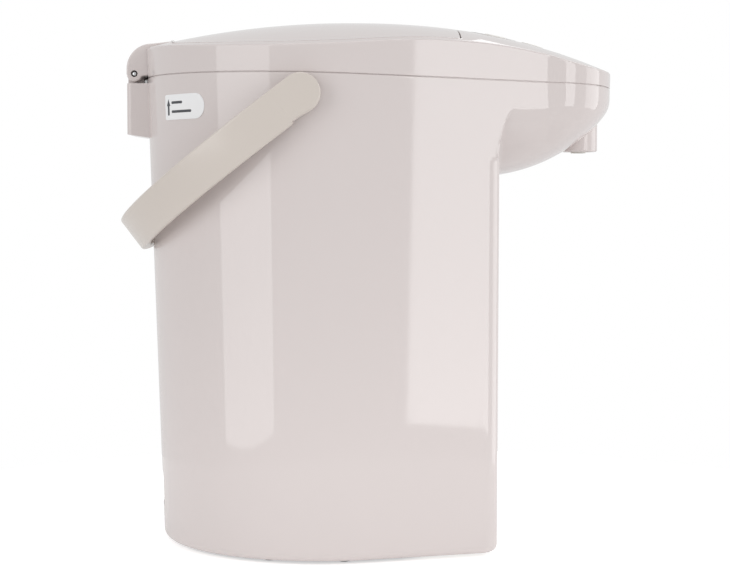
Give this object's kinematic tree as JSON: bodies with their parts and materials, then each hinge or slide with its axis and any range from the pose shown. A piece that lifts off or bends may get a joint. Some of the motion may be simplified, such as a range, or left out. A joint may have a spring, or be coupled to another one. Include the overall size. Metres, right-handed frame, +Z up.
{
  "type": "electric thermo pot",
  "caption": "Electric hot water pot with a dispensing beak and spout, a hinged lid, a bail handle and a turntable foot.",
  "frame": {"origin": "middle of the footprint box on the table, 26 mm in front of the axis that the pot turns on", "axes": "+X towards the spout, +Y to the pot's left, +Z up"},
  "size_m": [0.2965, 0.23, 0.313],
  "materials": {
    "shell": "glossy pinkish greige moulded plastic",
    "handle_plastic": "satin warm greige plastic",
    "panel": "smooth panel film",
    "key": "satin keys",
    "inner_plastic": "matte moulded plastic",
    "steel": "satin steel",
    "insulation": "fibre sleeve",
    "dark_plastic": "dark moulded plastic",
    "rubber": "matte rubber",
    "clear": "clear",
    "board": "circuit board",
    "copper": "plain copper alloy",
    "label": "white film"
  },
  "bodies": {
    "pot": {"outer_case": "shell", "top_cover": "shell", "hinge_bracket": "shell", "spout": "shell", "control_panel": "panel", "base_cover": "inner_plastic", "vessel_collar": "inner_plastic", "support_frame": "inner_plastic", "pump_housing": "inner_plastic", "pump_cover": "inner_plastic", "lower_pipe": "inner_plastic", "upper_pipe": "inner_plastic", "handle_pins": "inner_plastic", "inner_vessel": "steel", "heater": "steel", "hinge_pin": "steel", "bracket_screws": "steel", "base_screws": "steel", "turntable_screw": "steel", "turntable_washer": "steel", "pump_motor": "steel", "insulation_sleeve": "insulation", "power_inlet": "dark_plastic", "thermal_cutout": "dark_plastic", "display": "dark_plastic", "suction_seal": "rubber", "wiring_loom": "rubber", "gauge_window": "clear", "gauge_tube": "clear", "main_board": "board", "control_board": "board", "temperature_sensor": "copper", "inlet_contacts": "copper", "side_label": "label"},
    "turntable_body": {"turntable": "dark_plastic", "turntable_pads": "rubber"},
    "rotor_body": {"motor_rotor": "steel"},
    "impeller_body": {"pump_impeller": "dark_plastic"},
    "dispense_key_body": {"dispense_key": "key"},
    "unlock_key_body": {"unlock_key": "key"},
    "reboil_key_body": {"reboil_key": "key"},
    "temperature_key_body": {"temperature_key": "key"},
    "timer_key_body": {"timer_key": "key"},
    "handle_body": {"handle": "handle_plastic"},
    "lid": {"lid_shell": "shell", "lid_plate": "inner_plastic", "inner_cover": "steel", "lid_gasket": "rubber", "steam_vent": "inner_plastic", "valve_cage": "inner_plastic", "lever_pin": "steel", "lever_spring": "steel"},
    "lever_body": {"lid_lever": "handle_plastic"},
    "latch_body": {"lid_latch": "inner_plastic"},
    "ball_body": {"tip_over_ball": "steel"}
  },
  "joints": [
    {"name": "lid_hinge", "type": "hinge", "parent": "pot", "child": "lid", "pos_m": [-0.1383, 0, 0.2822], "axis": [0, -1, 0], "range_deg": [0, 85]},
    {"name": "latch_slide", "type": "slide", "parent": "lid", "child": "latch_body", "axis": [-1, 0, 0], "range_m": [0, 0.006], "stiffness_N_per_m": 300, "springref_m": -0.003},
    {"name": "lever_lift", "type": "hinge", "parent": "lid", "child": "lever_body", "pos_m": [0.044, 0, 0.306], "axis": [0, 1, 0], "range_deg": [0, 34]},
    {"name": "ball_shift", "type": "slide", "parent": "lid", "child": "ball_body", "axis": [0, 0, 1], "range_m": [0, 0.006]},
    {"name": "handle_swing", "type": "hinge", "parent": "pot", "child": "handle_body", "pos_m": [-0.0356, 0, 0.2654], "axis": [0, 1, 0], "range_deg": [0, 182]},
    {"name": "turntable_spin", "type": "hinge", "parent": "pot", "child": "turntable_body", "pos_m": [-0.026, 0, 0], "axis": [0, 0, 1], "continuous": true},
    {"name": "rotor_spin", "type": "hinge", "parent": "pot", "child": "rotor_body", "pos_m": [0.014, 0, 0.03], "axis": [0, 0, 1], "continuous": true},
    {"name": "impeller_spin", "type": "hinge", "parent": "pot", "child": "impeller_body", "pos_m": [0.014, 0, 0.04], "axis": [0, 0, 1], "continuous": true},
    {"name": "dispense_key_press", "type": "slide", "parent": "pot", "child": "dispense_key_body", "axis": [0, 0, -1], "range_m": [0, 0.001], "stiffness_N_per_m": 400, "springref_m": -0.001},
    {"name": "unlock_key_press", "type": "slide", "parent": "pot", "child": "unlock_key_body", "axis": [0, 0, -1], "range_m": [0, 0.001], "stiffness_N_per_m": 400, "springref_m": -0.001},
    {"name": "reboil_key_press", "type": "slide", "parent": "pot", "child": "reboil_key_body", "axis": [0, 0, -1], "range_m": [0, 0.001], "stiffness_N_per_m": 400, "springref_m": -0.001},
    {"name": "temperature_key_press", "type": "slide", "parent": "pot", "child": "temperature_key_body", "axis": [0, 0, -1], "range_m": [0, 0.001], "stiffness_N_per_m": 400, "springref_m": -0.001},
    {"name": "timer_key_press", "type": "slide", "parent": "pot", "child": "timer_key_body", "axis": [0, 0, -1], "range_m": [0, 0.001], "stiffness_N_per_m": 400, "springref_m": -0.001}
  ],
  "couplings": [
    {"joint": "impeller_spin", "follows": "rotor_spin", "ratio": 1},
    {"joint": "lever_lift", "follows": "latch_slide", "rad_per_m": 87.27}
  ]
}
